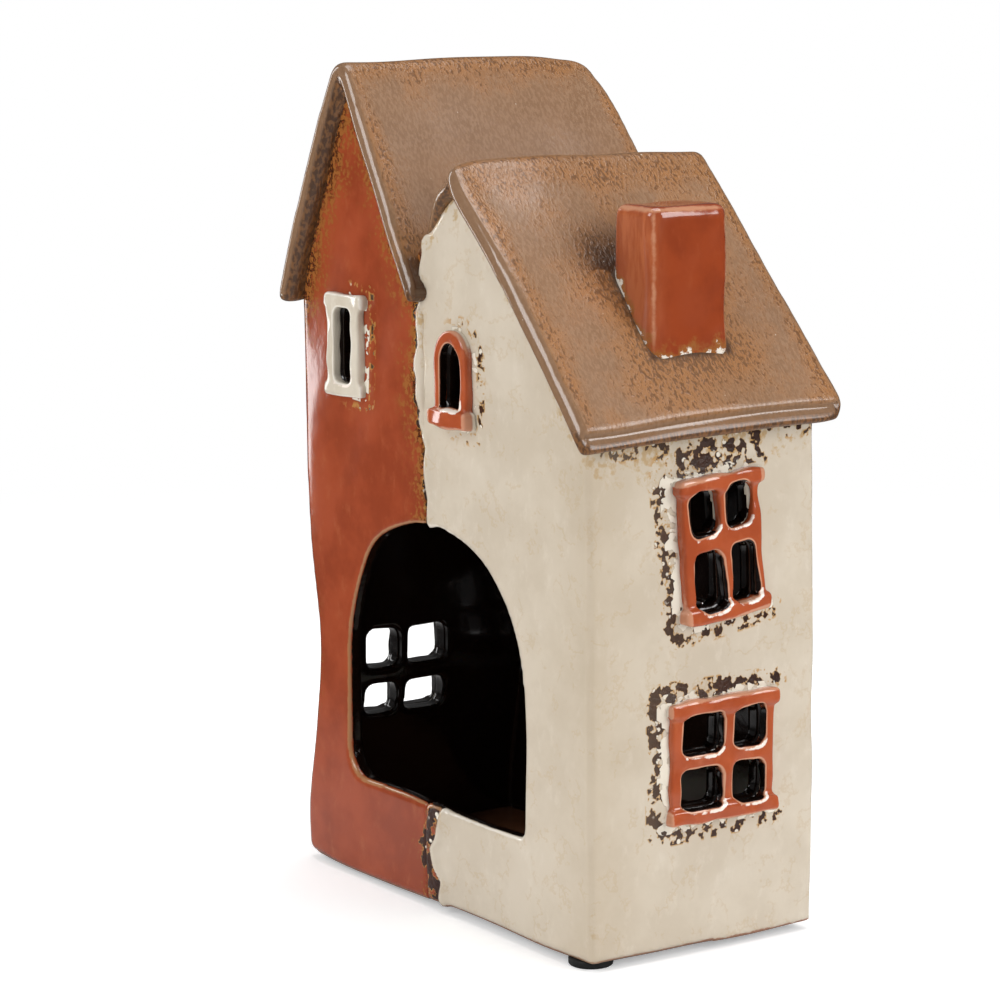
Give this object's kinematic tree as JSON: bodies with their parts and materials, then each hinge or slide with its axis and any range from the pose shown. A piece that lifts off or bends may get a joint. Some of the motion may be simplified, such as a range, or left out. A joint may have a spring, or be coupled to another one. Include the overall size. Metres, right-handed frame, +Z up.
{
  "type": "tealight house",
  "caption": "Glazed ceramic candle holder shaped like a tall and a low cottage joined side by side, with an arched opening for a tealight and pierced windows.",
  "frame": {"origin": "on the standing surface, under the middle of the plan", "axes": "+Z up; +X from the tall cottage to the low one; the arch is in the -Y face"},
  "size_m": [0.1382, 0.0884, 0.2134],
  "materials": {
    "terracotta_glaze": "gloss orange-red glaze that breaks to ochre and brown",
    "ivory_glaze": "gloss ivory glaze with tan mottling",
    "roof_glaze": "satin taupe glaze with rust streaks",
    "floor_glaze": "gloss dark brown glaze",
    "rubber": "matt black rubber",
    "aluminium": "bright pressed sheet",
    "paraffin": "smooth translucent white wax",
    "cotton": "braided and waxed cotton",
    "tinned_steel": "thin tinned sheet"
  },
  "bodies": {
    "house": {"floor_slab": "floor_glaze", "tall_front_gable": "terracotta_glaze", "tall_rear_gable": "terracotta_glaze", "tall_side_wall": "terracotta_glaze", "low_front_gable": "ivory_glaze", "low_rear_gable": "ivory_glaze", "low_side_wall": "ivory_glaze", "tall_left_roof_slab": "roof_glaze", "tall_right_roof_slab": "roof_glaze", "low_left_roof_slab": "roof_glaze", "low_right_roof_slab": "roof_glaze", "side_upper_window": "terracotta_glaze", "side_lower_window": "terracotta_glaze", "front_arched_window": "terracotta_glaze", "rear_arched_window": "terracotta_glaze", "rear_low_window": "terracotta_glaze", "chimney": "terracotta_glaze", "front_slit_window": "ivory_glaze", "rear_slit_window": "ivory_glaze", "tall_side_upper_window": "ivory_glaze", "tall_side_lower_window": "ivory_glaze", "rear_tall_window": "ivory_glaze", "foot_front_tall": "rubber", "foot_front_low": "rubber", "foot_rear_tall": "rubber", "foot_rear_low": "rubber"},
    "tealight": {"tealight_cup": "aluminium", "tealight_wax": "paraffin", "tealight_wick": "cotton", "tealight_wick_clip": "tinned_steel"}
  },
  "joints": [
    {"name": "tealight_lift_out", "type": "slide", "parent": "house", "child": "tealight", "axis": [0, -0.6871, 0.7266], "range_m": [0, 0.105]}
  ]
}
